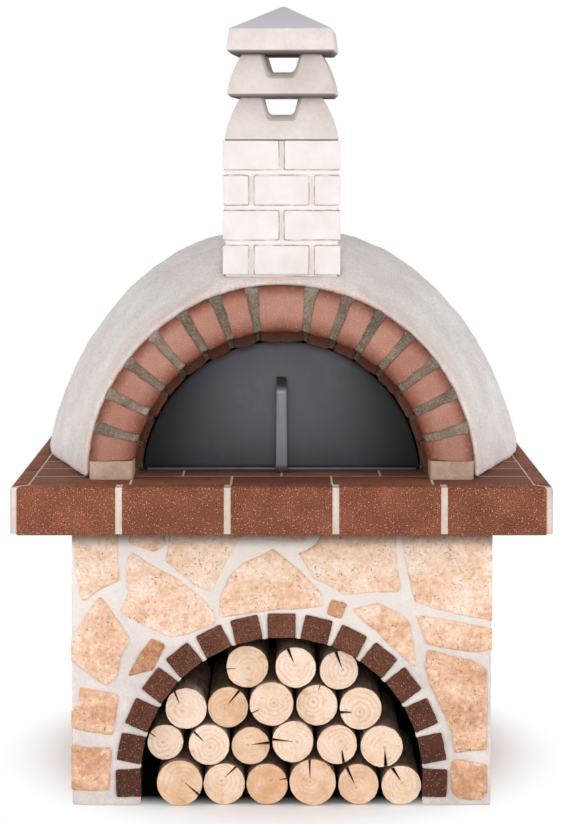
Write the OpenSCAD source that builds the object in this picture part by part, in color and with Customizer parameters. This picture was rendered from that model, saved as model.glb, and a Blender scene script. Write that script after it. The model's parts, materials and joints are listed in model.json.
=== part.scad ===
// Wood fired pizza oven on a stone clad stand with a log store, in millimetres.
// Origin on the ground under the middle of the worktop.
// X runs to the right, Y to the back and Z up; the oven mouth faces minus Y.

/* [Stand] */
// Width and depth of the stand over its facing
stand_w = 1020; // [1000:5:1030]
// Height of the stand up to the slab
stand_h = 685; // [660:5:720]
// Thickness of the stand walls behind the facing
wall_t = 90; // [80:5:100]
// Thickness of a facing stone
stone_t = 20; // [16:1:24]
// Depth of the grout surface behind the stone surface
grout_back = 3; // [2:0.5:5]
// Radius of the log store arch
store_r = 343; // [340:1:346]
// Height of the springing line of the log store arch
store_spring = 69; // [66:1:72]
// Radial height of a clinker piece round the log store arch
store_piece_h = 58; // [50:1:58]
// Width of a clinker piece round the log store arch
store_piece_w = 66; // [60:1:70]
// Number of clinker pieces round the log store arch
store_pieces = 15; // [13:1:15]

/* [Firewood] */
// Length of a log
log_len = 330; // [250:10:400]

/* [Worktop] */
// Width and depth of the worktop over its edge tiles
top_w = 1280; // [1270:2:1290]
// Height of the worktop edge
top_t = 115; // [110:1:120]
// Length of a clinker tile
tile_l = 240; // [236:1:241]
// Thickness of a clinker tile
tile_t = 14; // [12:1:16]
// Depth of the edge tile on the top of the worktop
lip_d = 38; // [34:1:44]
// Joint between two edge tiles
edge_joint = 16; // [12:1:18]
// Radius of the nose of an edge tile
nose_r = 9; // [6:1:11]
// Pitch of the rows of deck tiles
deck_pitch = 120; // [118:1:122]
// Joint between two deck tiles
deck_joint = 5; // [3:1:8]

/* [Oven floor] */
// Radius of the pocket for the oven floor
pocket_r = 470; // [460:2:480]
// Thickness of the insulation board under the floor
board_t = 35; // [30:1:40]
// Thickness of the floor bricks
floor_t = 50; // [45:1:52]

/* [Mouth arch] */
// Inner radius of the front brick arch
arch_r = 356; // [354:1:360]
// Radial height of a brick in the front arch
brick_h = 109; // [105:1:112]
// Width of a brick in the front arch
brick_w = 55; // [50:1:58]
// Width of the key brick
key_w = 106; // [96:1:110]
// Depth of a brick in both arches
brick_d = 100; // [96:1:104]
// Place of the front face of the arch
arch_front = -540; // [-545:1:-535]
// Rounding of the front edges of the arch bricks
brick_round = 20; // [8:1:24]
// Height of the cast feet of the arch
foot_h = 45; // [42:1:50]
// Inner radius of the second arch
inner_r = 348; // [346:1:352]
// Radial height of a brick in the second arch
inner_h = 65; // [60:1:68]

/* [Dome] */
// Outer radius of the rendered dome at the deck
dome_r = 617; // [605:1:620]
// Height of the rendered dome over the deck
dome_h = 583; // [575:1:590]
// Outer radius of the render at the mouth
mouth_r = 476; // [472:1:480]
// Thickness of the render
render_t = 25; // [20:1:28]
// Inner radius of the refractory dome
vault_r = 462; // [455:1:464]
// Thickness of the refractory dome
vault_t = 43; // [40:1:45]

/* [Chimney] */
// Width of the chimney block
chim_w = 285; // [281:1:288]
// Place of the middle of the chimney
chim_y = -340; // [-344:1:-336]
// Height of the chimney foot over the deck
chim_foot = 485; // [482:1:488]
// Height of one moulded course
course_h = 70; // [66:1:72]
// Joint between two moulded courses
course_joint = 15; // [12:1:17]
// Depth of the moulded joints
pad_d = 7; // [4:1:9]
// Width of the flue
flue_w = 190; // [184:1:196]
// Height of the mortar bead under the chimney block
bead_h = 5; // [4:1:8]
// Width of a cowl ring at its foot
cowl_w = 277; // [274:1:280]
// Height of a cowl ring
cowl_h = 105; // [102:1:108]
// Width of a cowl ring at its top
cowl_top = 198; // [194:1:200]
// Thickness of the cowl wall
cowl_wall = 34; // [30:1:38]
// Width of a cowl window at its sill
window_w = 69; // [64:1:74]
// Depth of a cowl window
window_d = 58; // [52:1:62]
// Height of the cap slab
cap_h = 62; // [58:1:66]
// Height of the pyramid on the cap
pyramid_h = 60; // [50:1:70]

/* [Door] */
// Radius of the door arc
door_r = 342; // [338:1:344]
// Thickness of the door
door_t = 30; // [28:1:34]
// Thickness of the door sheet
sheet_t = 3; // [2:0.5:4]
// Width of the handle strap at its top
strap_w = 25; // [22:1:28]
// Thickness of the handle strap
strap_t = 9; // [7:1:10]
// Distance from the door to the front of the handle
strap_out = 80; // [76:1:84]
// Height of the top of the handle over the deck
strap_top = 218; // [205:1:230]

/* [Hidden] */
$fn = 96;
clear = 0.3;
big = 3000;
half = stand_w / 2;
wall_in = half - stone_t - wall_t;
deck_z = stand_h + top_t;
slab_top = deck_z - tile_t;
slab_half = top_w / 2 - tile_t;
edge_half = top_w / 2;
field_half = edge_half - lip_d - deck_joint;
pocket_z = deck_z - floor_t - board_t;
pocket_front = arch_front + 2 * brick_d;
arch_back = arch_front + brick_d;
inner_back = arch_back + brick_d;
inner_z = deck_z - 24;
vault_z = deck_z - 20;
vault_out = vault_r + vault_t;
chim_z = deck_z + chim_foot;
block_z = chim_z + bead_h;
block_h = 4 * course_h + 3 * course_joint;
cowl_z = block_z + block_h;
cap_z = cowl_z + 2 * cowl_h;
door_front = inner_back - door_t;
door_bottom = 0.6;

// Outlines of the front facing stones as X and Z, read from the photo
FRONT_STONES = [
    [[-502, 683], [-400, 683], [-394, 551], [-439, 529], [-482, 499], [-497, 585]],
    [[-370, 642], [-355, 683], [-292, 683], [-281, 640], [-307, 620]],
    [[-263, 683], [-85, 683], [-129, 607], [-151, 568], [-172, 523], [-214, 544], [-281, 598]],
    [[-363, 620], [-374, 596], [-374, 536], [-366, 525], [-389, 473], [-329, 440], [-270, 414],
     [-229, 421], [-162, 447], [-166, 473], [-192, 507], [-248, 551], [-315, 588]],
    [[-439, 512], [-500, 421], [-510, 408], [-510, 358], [-426, 293], [-400, 317], [-389, 369],
     [-368, 407], [-400, 458]],
    [[-315, 408], [-281, 394], [-315, 332], [-372, 318], [-344, 369]],
    [[-149, 461], [-147, 510], [-125, 563], [-92, 592], [-21, 627], [-4, 614], [64, 554], [92, 522],
     [103, 490], [53, 482], [-4, 482]],
    [[-60, 683], [57, 683], [57, 647], [0, 648], [-40, 655]],
    [[110, 683], [274, 683], [278, 593], [288, 523], [224, 522], [153, 518], [128, 532], [78, 557],
     [44, 616], [82, 636]],
    [[288, 683], [510, 683], [510, 454], [434, 468], [370, 483], [324, 500], [313, 543], [299, 607]],
    [[121, 506], [158, 493], [144, 458], [110, 470]],
    [[171, 479], [231, 495], [288, 468], [310, 447], [324, 338], [270, 388], [228, 430], [206, 447]],
    [[326, 465], [420, 451], [510, 431], [510, 383], [473, 376], [388, 387], [352, 397], [342, 426]],
    [[356, 381], [463, 354], [495, 334], [498, 196], [496, 140], [420, 129], [413, 179], [398, 221],
     [359, 303], [348, 340]],
    [[412, 111], [445, 111], [498, 100], [498, 33], [484, 15], [434, 19], [416, 33], [411, 51]],
    [[-488, 289], [-395, 271], [-410, 173], [-463, 182], [-510, 193], [-510, 228], [-489, 253]],
    [[-510, 148], [-466, 141], [-413, 143], [-420, 40], [-510, 40]]
];

// Logs by row as X, height of the axis, radius and how far the front end stands back
LOGS_BOTTOM = [
    [-248, 56.5, 56, 2], [-139, 51.5, 51, 14], [-35, 51.5, 51, 10],
    [75, 57.5, 57, 6], [187, 50.5, 50, 12], [291, 49.5, 49, 8]
];
LOGS_THIRD = [
    [-283, 151, 44, 24], [-176, 146, 50, 16], [-75, 142, 47, 22],
    [28, 155, 51, 12], [135, 146, 49, 18], [243, 143, 52, 14]
];
LOGS_SECOND = [
    [-232, 234, 51, 20], [-130, 236, 50, 26], [-24, 247, 54, 12], [86, 242, 51, 24], [192, 234, 52, 20]
];
LOGS_TOP = [[-84, 335, 52, 28], [34, 334, 50, 20], [140, 326, 48, 26]];

// A box between two corners
module block(a, b) {
    translate(a)
        cube(b - a);
}

// A flat outline drawn in X and Z, standing from y0 back to y1
module standing(y0, y1) {
    translate([0, y1, 0])
        rotate([90, 0, 0])
            linear_extrude(height = y1 - y0)
                children();
}

// A round bar along Y
module y_rod(x, z, r, y0, y1) {
    translate([x, y1, z])
        rotate([90, 0, 0])
            cylinder(r = r, h = y1 - y0);
}

// Space of the log store arch through the front wall
module store_space(r, y0, y1) {
    y_rod(0, store_spring, r, y0, y1);
    block([-r, y0, -1], [r, y1, store_spring]);
}

// Angle of one clinker piece round the log store arch
store_step = 13.13;
function store_angle(i) = 90 + (i - (store_pieces - 1) / 2) * store_step;

module store_piece_shapes(y0, y1, grow) {
    for (i = [0 : store_pieces - 1])
        translate([0, 0, store_spring])
            rotate([0, -store_angle(i), 0])
                block([store_r - grow, y0, -store_piece_w / 2], [store_r + store_piece_h, y1, store_piece_w / 2]);
}

module base_front_wall() {
    color("#d9d4cf")
        difference() {
            block([-half + stone_t, -half + stone_t, 0], [half - stone_t, -wall_in, stand_h]);
            store_space(store_r, -half, -wall_in + 1);
        }
}

module base_left_wall() {
    color("#d9d4cf")
        block([-half + stone_t, -wall_in, 0], [-wall_in, wall_in, stand_h]);
}

module base_right_wall() {
    color("#d9d4cf")
        block([wall_in, -wall_in, 0], [half - stone_t, wall_in, stand_h]);
}

module base_back_wall() {
    color("#e6e0da")
        block([-half, wall_in, 0], [half, half, stand_h]);
}

module store_arch_clinkers() {
    color("#5c3a30")
        intersection() {
            store_piece_shapes(-half - 1, -half + stone_t, 0);
            block([-half, -half - 1, 2], [half, -half + stone_t, stand_h]);
        }
}

module front_stone_shapes(y0) {
    standing(y0, -half + stone_t)
        for (s = FRONT_STONES)
            polygon(s);
}

module front_stones() {
    color("#efc9a3")
        front_stone_shapes(-half);
}

module front_grout() {
    color("#e0dcdc")
        difference() {
            block([-half + grout_back, -half + grout_back, 2], [half - grout_back, -half + stone_t, stand_h]);
            store_space(store_r, -half - 1, -half + stone_t + 1);
            front_stone_shapes(-half - 1);
            store_piece_shapes(-half - 2, -half + stone_t + 1, 5);
        }
}

// Corner points of the side facing stones, a grid moved about by a fixed rule
SIDE_COLS = 4;
SIDE_ROWS = 4;
side_y0 = -half + stone_t;
side_y1 = half - wall_t - stone_t;
side_joint = 13;
function sway(i, j, k) = sin(i * 137 + j * 211 + k * 67);
function side_u(i, j) = side_y0 + (side_y1 - side_y0) * i / SIDE_COLS
    + (i == 0 || i == SIDE_COLS ? 0 : 62 * sway(i, j, 1));
function side_v(i, j) = stand_h * j / SIDE_ROWS
    + (j == 0 || j == SIDE_ROWS ? 0 : 46 * sway(i, j, 2));
function corner(i, j) = [side_u(i, j), side_v(i, j)];
function middle(p) = [for (k = [0, 1]) [for (q = p) q[k]] * [for (q = p) 1] / len(p)];
function inset(p) = [for (q = p) q + (middle(p) - q) * side_joint / norm(middle(p) - q)];

module side_outlines() {
    for (i = [0 : SIDE_COLS - 1], j = [0 : SIDE_ROWS - 1]) {
        a = corner(i, j);
        b = corner(i + 1, j);
        c = corner(i + 1, j + 1);
        d = corner(i, j + 1);
        if ((i + 2 * j) % 4 == 1) {
            polygon(inset([a, b, c]));
            polygon(inset([a, c, d]));
        } else {
            polygon(inset([a, b, c, d]));
        }
    }
}

// Side facing stones as for the right side, from x0 out to x1
module side_stone_shapes(x0, x1) {
    translate([x0, 0, 0])
        rotate([90, 0, 90])
            linear_extrude(height = x1 - x0)
                side_outlines();
}

module side_grout_shape() {
    difference() {
        block([half - stone_t, side_y0, 2], [half - grout_back, side_y1, stand_h]);
        side_stone_shapes(half - stone_t - 1, half + 1);
    }
}

module left_stones() {
    color("#efc9a3")
        mirror([1, 0, 0])
            side_stone_shapes(half - stone_t, half);
}

module left_grout() {
    color("#e0dcdc")
        mirror([1, 0, 0])
            side_grout_shape();
}

module right_stones() {
    color("#efc9a3")
        side_stone_shapes(half - stone_t, half);
}

module right_grout() {
    color("#e0dcdc")
        side_grout_shape();
}

module log_row(row) {
    color("#e8c79a")
        for (g = row)
            y_rod(g[0], g[1], g[2], -half + g[3], -half + g[3] + log_len);
}

module logs_bottom_row() {
    log_row(LOGS_BOTTOM);
}

module logs_third_row() {
    log_row(LOGS_THIRD);
}

module logs_second_row() {
    log_row(LOGS_SECOND);
}

module logs_top_row() {
    log_row(LOGS_TOP);
}

// Round pocket for the oven floor, cut straight at the second arch
module pocket_space(r, z0, z1) {
    intersection() {
        translate([0, 0, z0])
            cylinder(r = r, h = z1 - z0);
        block([-big, pocket_front + pocket_r - r, z0], [big, big, z1]);
    }
}

module hearth_slab() {
    color("#b9b2aa")
        difference() {
            block([-slab_half, -slab_half, stand_h], [slab_half, slab_half, slab_top]);
            pocket_space(pocket_r, pocket_z, deck_z + 1);
        }
}

// Section of an edge tile, with Y measured from the worktop edge inwards
module edge_section() {
    difference() {
        union() {
            square([tile_t, top_t]);
            translate([0, top_t - tile_t])
                square([lip_d, tile_t]);
        }
        difference() {
            translate([-1, top_t - nose_r])
                square([nose_r + 1, nose_r + 1]);
            translate([nose_r, top_t - nose_r])
                circle(r = nose_r);
        }
    }
}

edge_run = 5 * tile_l + 4 * edge_joint;
mitre_gap = 14;

// Five edge tiles along the front, mitred at both ends
module edge_row() {
    intersection() {
        for (i = [0 : 4])
            translate([-edge_run / 2 + i * (tile_l + edge_joint), -edge_half, stand_h])
                rotate([90, 0, 90])
                    linear_extrude(height = tile_l)
                        edge_section();
        linear_extrude(height = big)
            polygon([[-edge_half + mitre_gap, -edge_half - 1], [edge_half - mitre_gap, -edge_half - 1], [0, -1]]);
    }
}

module edge_tiles_front() {
    color("#8a4f3d")
        edge_row();
}

module edge_tiles_left() {
    color("#8a4f3d")
        rotate([0, 0, -90])
            edge_row();
}

module edge_tiles_right() {
    color("#8a4f3d")
        rotate([0, 0, 90])
            edge_row();
}

module edge_tiles_back() {
    color("#8a4f3d")
        rotate([0, 0, 180])
            edge_row();
}

// Depth of the edge joints behind the tiles, enough to lie inside their round nose
edge_recess = 3;

module edge_grout() {
    g = edge_half - edge_recess;
    f = edge_half - lip_d;
    color("#e6ddd4")
        difference() {
            block([-g, -g, stand_h + edge_recess], [g, g, deck_z - edge_recess]);
            block([-slab_half, -slab_half, stand_h - 1], [slab_half, slab_half, slab_top]);
            block([-f, -f, slab_top - 1], [f, f, deck_z + 1]);
            for (a = [0, 90, 180, 270])
                rotate([0, 0, a])
                    edge_row();
        }
}

// Deck tiles in running bond over the whole worktop field
module deck_tile_shapes() {
    rows = floor(2 * field_half / deck_pitch) + 1;
    intersection() {
        for (j = [0 : rows - 1], i = [-4 : 3])
            translate([(i + (j % 2 == 0 ? 0.5 : 0)) * tile_l, -field_half + j * deck_pitch, 0])
                block([deck_joint / 2, 0, slab_top], [tile_l - deck_joint / 2, deck_pitch - deck_joint, deck_z]);
        block([-field_half, -field_half, slab_top], [field_half, field_half, deck_z]);
    }
}

module deck_tiles() {
    color("#5a3a30")
        difference() {
            deck_tile_shapes();
            pocket_space(pocket_r + 4, slab_top - 1, deck_z + 1);
        }
}

field_recess = 0.4;
lip_recess = 2;

// Joints of the field nearly flush, the joint along the edge tiles raked out
module deck_grout() {
    f = edge_half - lip_d;
    color("#e6ddd4")
        difference() {
            union() {
                block([-f, -f, slab_top], [f, f, deck_z - lip_recess]);
                block([-field_half, -field_half, slab_top], [field_half, field_half, deck_z - field_recess]);
            }
            deck_tile_shapes();
            pocket_space(pocket_r, slab_top - 1, deck_z + 1);
        }
}

module floor_insulation_board() {
    color("#d8cdb8")
        pocket_space(pocket_r, pocket_z, pocket_z + board_t);
}

floor_l = 236;
floor_w = 114;
floor_joint = 1.5;

module oven_floor_bricks() {
    color("#c9a27c")
        intersection() {
            pocket_space(pocket_r - 1, deck_z - floor_t, deck_z);
            for (j = [-4 : 4], i = [-3 : 2])
                translate([(i + (j % 2 == 0 ? 0.5 : 0)) * floor_l, (j - 0.5) * floor_w, deck_z - floor_t])
                    cube([floor_l - floor_joint, floor_w - floor_joint, floor_t]);
        }
}

// Places of the arch bricks, seven on each side of the key
arch_first = 10.4;
arch_step = 10.85;
side_bricks = 7;
brick_angles = [for (i = [0 : side_bricks - 1]) arch_first + i * arch_step];

// Section of a front arch brick along its length, front edges rounded
module brick_section() {
    difference() {
        square([brick_h, brick_d]);
        for (m = [0, 1])
            translate([m * brick_h, 0])
                mirror([m, 0])
                    difference() {
                        translate([-1, -1])
                            square([brick_round + 1, brick_round + 1]);
                        translate([brick_round, brick_round])
                            circle(r = brick_round);
                    }
    }
}

module arch_brick(a, w, heel = 0) {
    translate([0, arch_front, deck_z])
        rotate([0, -a, 0])
            translate([arch_r, 0, -w / 2 - heel])
                linear_extrude(height = w + heel)
                    brick_section();
}

heel_w = 16;

// Seven bricks on the right side, the lowest one long enough to be cut level on the foot
module arch_brick_side() {
    for (a = brick_angles)
        arch_brick(a, brick_w, a == arch_first ? heel_w : 0);
}

module arch_bricks() {
    color("#a8604a")
        intersection() {
            union() {
                arch_brick_side();
                mirror([1, 0, 0])
                    arch_brick_side();
                arch_brick(90, key_w);
            }
            y_rod(0, deck_z, arch_r + brick_h, arch_front - 1, arch_back + 1);
            block([-big, -big, deck_z + foot_h], [big, big, big]);
        }
}

// Corner of a brick seen from the front, at u along its axis and h to the left of the axis
function brick_corner(a, u, h) = [u * cos(a) - h * sin(a), u * sin(a) + h * cos(a)];

// Wedge joints between the bricks of an arch, seen from the front, between two heights of the bricks
module arch_joints(r0, r1) {
    places = concat(brick_angles, [90]);
    h0 = brick_w / 2;
    for (m = [0, 1], i = [0 : side_bricks - 1]) {
        h1 = (i == side_bricks - 1 ? key_w : brick_w) / 2;
        mirror([m, 0])
            polygon([brick_corner(places[i], r0, h0), brick_corner(places[i], r1, h0),
                brick_corner(places[i + 1], r1, -h1), brick_corner(places[i + 1], r0, -h1)]);
    }
}

mortar_back = 6;
mortar_short = 4;

module arch_mortar() {
    color("#7d7365")
        standing(arch_front + mortar_back, arch_back)
            translate([0, deck_z])
                arch_joints(arch_r + mortar_short, arch_r + brick_h - mortar_short);
}

// Cast foot under the right end of the front arch
module arch_foot() {
    r = 8;
    difference() {
        block([arch_r + 2, arch_front + 3, deck_z], [arch_r + brick_h - 3, arch_back, deck_z + foot_h]);
        for (x = [arch_r + 2, arch_r + brick_h - 3])
            difference() {
                block([x - r, arch_front, deck_z - 1], [x + r, arch_front + 3 + r, deck_z + foot_h + 1]);
                translate([x < arch_r + brick_h / 2 ? x + r : x - r, arch_front + 3 + r, deck_z - 2])
                    cylinder(r = r, h = foot_h + 4);
                block([arch_r + 2 + r, arch_front, deck_z - 2], [arch_r + brick_h - 3 - r, arch_back, big]);
            }
        y_rod(0, deck_z, arch_r, arch_front - 1, arch_back + 1);
    }
}

module arch_foot_left() {
    color("#a89c8c")
        mirror([1, 0, 0])
            arch_foot();
}

module arch_foot_right() {
    color("#a89c8c")
        arch_foot();
}

module inner_brick(a, w) {
    translate([0, arch_back, inner_z])
        rotate([0, -a, 0])
            translate([inner_r, 0, -w / 2])
                cube([inner_h, brick_d, w]);
}

module inner_brick_shapes() {
    for (a = brick_angles) {
        inner_brick(a, brick_w);
        inner_brick(180 - a, brick_w);
    }
    inner_brick(90, key_w);
}

module inner_arch_bricks() {
    color("#7a4636")
        intersection() {
            inner_brick_shapes();
            y_rod(0, inner_z, inner_r + inner_h, arch_back - 1, inner_back + 1);
            block([-big, -big, deck_z], [big, big, big]);
        }
}

// Joint between the deck and the lowest brick of the second arch, seen from the front
module inner_foot_joint(r0, r1) {
    low = brick_corner(arch_first, r0, -brick_w / 2);
    high = brick_corner(arch_first, r1, -brick_w / 2);
    polygon([[low[0], deck_z - inner_z], [high[0], deck_z - inner_z], high, low]);
}

module inner_arch_mortar() {
    r0 = inner_r + mortar_short;
    r1 = inner_r + inner_h - mortar_short;
    color("#6a6056")
        standing(arch_back, inner_back)
            translate([0, inner_z]) {
                arch_joints(r0, r1);
                for (m = [0, 1])
                    mirror([m, 0])
                        inner_foot_joint(r0, r1);
            }
}

throat_x = 92;
throat_y0 = inner_back;
throat_y1 = inner_back + 95;

// Refractory dome as a whole, with the tunnel and the flue throat cut out
module vault_shape() {
    difference() {
        translate([0, 0, vault_z])
            sphere(r = vault_out);
        translate([0, 0, vault_z])
            sphere(r = vault_r);
        block([-big, -big, -big], [big, big, deck_z]);
        block([-big, -big, -big], [big, inner_back, big]);
        y_rod(0, inner_z, inner_r, -vault_out, 0);
        block([-throat_x, throat_y0, deck_z + 200], [throat_x, throat_y1, big]);
    }
}

vault_gap = 3;

// One quarter of the refractory dome
module vault_quarter(sx, sy) {
    intersection() {
        vault_shape();
        translate([sx * (big / 2 + vault_gap / 2), sy * (big / 2 + vault_gap / 2), 0])
            cube(big, center = true);
    }
}

module vault_front_left() {
    color("#c8b294")
        vault_quarter(-1, -1);
}

module vault_front_right() {
    color("#c8b294")
        vault_quarter(1, -1);
}

module vault_rear_left() {
    color("#c8b294")
        vault_quarter(-1, 1);
}

module vault_rear_right() {
    color("#c8b294")
        vault_quarter(1, 1);
}

module vault_joints() {
    color("#9c9186")
        intersection() {
            vault_shape();
            union() {
                cube([vault_gap, big, big], center = true);
                cube([big, vault_gap, big], center = true);
            }
        }
}

collar_x = 140;
collar_y0 = arch_back + 1;
collar_y1 = throat_y1 + 45;

module flue_collar() {
    color("#b5a58c")
        difference() {
            block([-collar_x, collar_y0, deck_z + 300], [collar_x, collar_y1, chim_z]);
            y_rod(0, inner_z, inner_r + inner_h + clear, -big, inner_back + clear);
            translate([0, 0, vault_z])
                sphere(r = vault_out + clear);
            block([-throat_x, throat_y0, deck_z], [throat_x, throat_y1, big]);
        }
}

// Outline of the rendered dome, a rounded beehive
dome_p = 2.4;
dome_q = 1.43;
dome_steps = 12;
dome_fn = 64;
dome_shift = 4;
function dome_point(r, h, t) = [r * pow(cos(t), 2 / dome_p), h * pow(sin(t), 2 / dome_q)];

// The rendered form drawn in by s, cut straight at y0 in front
module dome_form(s, y0) {
    intersection() {
        dome_hull(s, y0);
        block([-big, y0, deck_z], [big, big, big]);
    }
}

// Dome, round mouth and the flat seat of the chimney drawn together in one skin
module dome_hull(s, y0) {
    translate([0, 0, deck_z])
        hull() {
            translate([dome_shift, 0, 0])
                rotate_extrude($fn = dome_fn)
                    polygon(concat([[0, 0]], [for (i = [0 : dome_steps])
                        dome_point(dome_r - s, dome_h - s, 90 * i / dome_steps)]));
            standing(y0, y0 + 1)
                intersection() {
                    circle(r = mouth_r - s, $fn = dome_fn);
                    translate([-mouth_r, 0])
                        square([2 * mouth_r, mouth_r]);
                }
            block([-chim_w / 2 - 3 + s, chim_y - chim_w / 2 + s, 0], [chim_w / 2 + 3 - s, chim_y, chim_foot - s]);
        }
}

render_front = arch_front + 28;

module chimney_space(c) {
    block([-chim_w / 2 - c, chim_y - chim_w / 2 - c, chim_z - c], [chim_w / 2 + c, chim_y + chim_w / 2 + c, big]);
}

module render_shell() {
    color("#e9e1dc")
        difference() {
            dome_form(0, render_front);
            dome_form(render_t, render_front - 1);
            y_rod(0, deck_z, arch_r + brick_h + clear, arch_front - 1, arch_back + clear);
            block([-collar_x - clear, collar_y0 - clear, deck_z], [collar_x + clear, collar_y1 + clear, big]);
            chimney_space(clear);
        }
}

module insulation_fill() {
    color("#efe6c8")
        difference() {
            dome_form(render_t + clear, arch_back + clear);
            y_rod(0, inner_z, inner_r + inner_h + clear, -big, inner_back + clear);
            translate([0, 0, vault_z])
                sphere(r = vault_out + clear);
            block([-big, -big, -big], [big, big, deck_z + clear]);
            block([-collar_x - clear, -big, deck_z], [collar_x + clear, collar_y1 + clear, big]);
            chimney_space(clear);
        }
}

module chimney_bead() {
    w = chim_w / 2 - 8;
    f = flue_w / 2;
    color("#d8d0ca")
        difference() {
            block([-w, chim_y - w, chim_z], [w, chim_y + w, block_z]);
            block([-f, chim_y - f, chim_z - 1], [f, chim_y + f, block_z + 1]);
        }
}

// Upright joint through a moulded course on all four faces, u from the middle of the face
module course_slots(u, z0) {
    w = chim_w / 2;
    g = course_joint / 2;
    for (a = [0, 90, 180, 270])
        rotate([0, 0, a])
            block([u - g, w - pad_d, z0 - 1], [u + g, w + 1, z0 + course_h + 1]);
}

half_joint = 73;

module chimney_block() {
    w = chim_w / 2;
    c = w - pad_d;
    f = flue_w / 2;
    color("#f5efec")
        translate([0, chim_y, block_z])
            difference() {
                union() {
                    block([-c, -c, 0], [c, c, block_h]);
                    for (i = [0 : 3]) {
                        z0 = i * (course_h + course_joint);
                        difference() {
                            block([-w, -w, z0], [w, w, z0 + course_h]);
                            if (i % 2 == 1) {
                                course_slots(0, z0);
                            } else {
                                course_slots(half_joint, z0);
                                course_slots(-half_joint, z0);
                            }
                        }
                    }
                }
                block([-f, -f, -1], [f, f, block_h + 1]);
            }
}

cowl_arc = 254;

// Side view of a cowl ring: chamfered foot, then one long arc drawn in to the top
module cowl_side(w, top, h, chamfer) {
    in = (w - top) / 2;
    rise = h - chamfer;
    chord = norm([in, rise]);
    d = sqrt(cowl_arc * cowl_arc - chord * chord / 4);
    x = w / 2 - in / 2 - d * rise / chord;
    z = chamfer + rise / 2 - d * in / chord;
    difference() {
        polygon([[-w / 2 + chamfer, 0], [w / 2 - chamfer, 0], [w / 2, chamfer], [w / 2, h],
            [-w / 2, h], [-w / 2, chamfer]]);
        for (m = [0, 1])
            mirror([m, 0])
                difference() {
                    translate([0, chamfer])
                        square([w, h]);
                    translate([x, z])
                        circle(r = cowl_arc);
                }
    }
}

// Square body with the same side view from the front and from the side
module square_turned(l) {
    intersection() {
        standing(-l, l)
            children();
        rotate([0, 0, 90])
            standing(-l, l)
                children();
    }
}

window_lean = 26;
window_round = 16;
window_splay = 6;
sill_tilt = 22;
sill_in = 11;

// Front view of the left half of a cowl window from its sill, open at the top and to the right
module half_window() {
    low = window_w / 2;
    top = 2 * window_d;
    c = [-low + window_round * (1 / cos(window_lean) - tan(window_lean)), window_round];
    turn = (90 - window_lean) / 5;
    corner = [for (i = [0 : 5]) let (a = 180 + window_lean + i * turn) c + window_round * [cos(a), sin(a)]];
    polygon(concat(corner, [[2 * window_w, 0], [2 * window_w, top], [-low - top * tan(window_lean), top]]));
}

// Window in the front wall, narrowing inwards over a sill that rises inwards
module cowl_window(w) {
    translate([0, -w / 2 + sill_in, cowl_h - window_d])
        rotate([sill_tilt, 0, 0])
            intersection() {
                rotate([0, 0, -window_splay])
                    standing(-40, 95)
                        half_window();
                rotate([0, 0, window_splay])
                    standing(-40, 95)
                        mirror([1, 0])
                            half_window();
            }
}

cowl_plate = 18;

// Cowl ring with a foot plate, a square hole in the plate and a window in each wall
module cowl_ring(w, top, chamfer, hole) {
    in_w = w - 2 * cowl_wall;
    in_top = top - 2 * cowl_wall;
    difference() {
        square_turned(w)
            cowl_side(w, top, cowl_h, chamfer);
        translate([0, 0, cowl_plate])
            square_turned(w)
                cowl_side(in_w - 5, in_top, cowl_h - cowl_plate, 0);
        block([-hole / 2, -hole / 2, -1], [hole / 2, hole / 2, cowl_plate + 1]);
        block([-in_top / 2, -in_top / 2, cowl_h - 1], [in_top / 2, in_top / 2, big]);
        for (a = [0, 90, 180, 270])
            rotate([0, 0, a])
                cowl_window(w);
    }
}

module cowl_lower() {
    color("#e3d9d3")
        translate([0, chim_y, cowl_z])
            cowl_ring(cowl_w, cowl_top, 3, flue_w);
}

upper_less = 17;
upper_shift = 6;
cowl_turn = 3.8;

// The upper ring and the cap sit a little askew
module cowl_upper() {
    color("#e3d9d3")
        translate([upper_shift, chim_y, cowl_z + cowl_h])
            rotate([0, 0, -cowl_turn])
                cowl_ring(cowl_w - upper_less, cowl_top - 5, 9, cowl_top - 2 * cowl_wall);
}

cap_low = 262;
cap_top = 249;
cap_chamfer = 11;
cap_shift = 5;
apex_w = 6;

module cowl_cap() {
    color("#d5ccc6")
        translate([cap_shift, chim_y, cap_z])
            rotate([0, 0, -cowl_turn])
                square_turned(cap_low)
                    polygon([[-cap_low / 2 + cap_chamfer, 0], [cap_low / 2 - cap_chamfer, 0], [cap_low / 2, cap_chamfer],
                        [cap_top / 2, cap_h], [apex_w / 2, cap_h + pyramid_h], [-apex_w / 2, cap_h + pyramid_h],
                        [-cap_top / 2, cap_h], [-cap_low / 2, cap_chamfer]]);
}

// Outline of the door, an arc standing just clear of the deck, drawn in by s
module door_outline(s) {
    intersection() {
        translate([0, inner_z])
            circle(r = door_r - s);
        translate([-big / 2, deck_z + door_bottom + s])
            square([big, big]);
    }
}

module door_sheet() {
    color("#4a484c")
        standing(door_front, door_front + sheet_t)
            door_outline(0);
}

module door_rim() {
    color("#434145")
        standing(door_front + sheet_t, inner_back - clear)
            difference() {
                door_outline(0);
                door_outline(sheet_t);
            }
}

module door_insulation() {
    color("#efe6c8")
        standing(door_front + sheet_t, inner_back - 2 * sheet_t)
            door_outline(sheet_t);
}

module door_back_plate() {
    color("#5a5a5c")
        standing(inner_back - 2 * sheet_t, inner_back - sheet_t)
            door_outline(sheet_t);
}

foot_out = 23;
foot_lip = 7;
foot_half = 332;

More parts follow.
